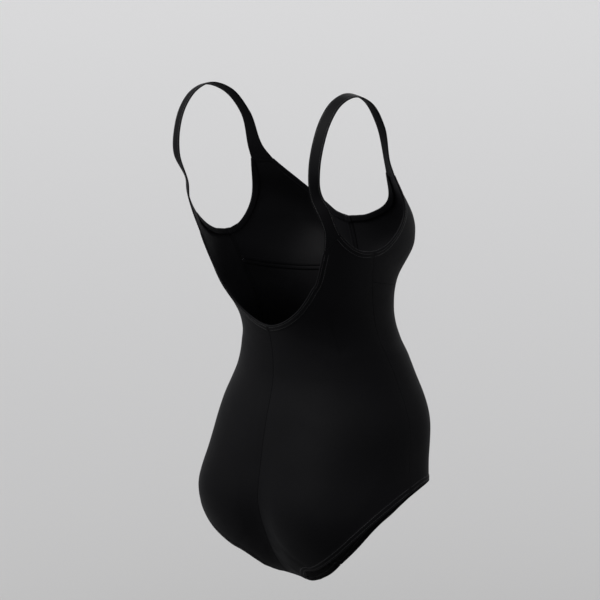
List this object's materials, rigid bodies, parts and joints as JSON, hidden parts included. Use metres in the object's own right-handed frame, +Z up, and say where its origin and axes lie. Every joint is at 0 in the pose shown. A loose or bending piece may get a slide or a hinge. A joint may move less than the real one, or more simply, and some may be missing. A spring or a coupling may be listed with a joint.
{
  "type": "leotard",
  "caption": "Sleeveless one-piece leotard with moulded cups, narrow shoulder straps and a deep scooped back, worn for dance, gymnastics or swimming.",
  "frame": {"origin": "midway between the two places where the straps rest on the wearer's shoulders", "axes": "+Z up to the shoulders; the front of the garment faces -Y; the wearer's left side is +X"},
  "size_m": [0.3266, 0.2369, 0.6422],
  "materials": {
    "black_jersey": "matte fine-knit stretch jersey with a soft sheen"
  },
  "bodies": {
    "root": {"front_body": "black_jersey", "cup_left": "black_jersey", "cup_right": "black_jersey", "back_left": "black_jersey", "back_right": "black_jersey", "gusset": "black_jersey", "strap_left": "black_jersey", "strap_right": "black_jersey"}
  },
  "joints": []
}
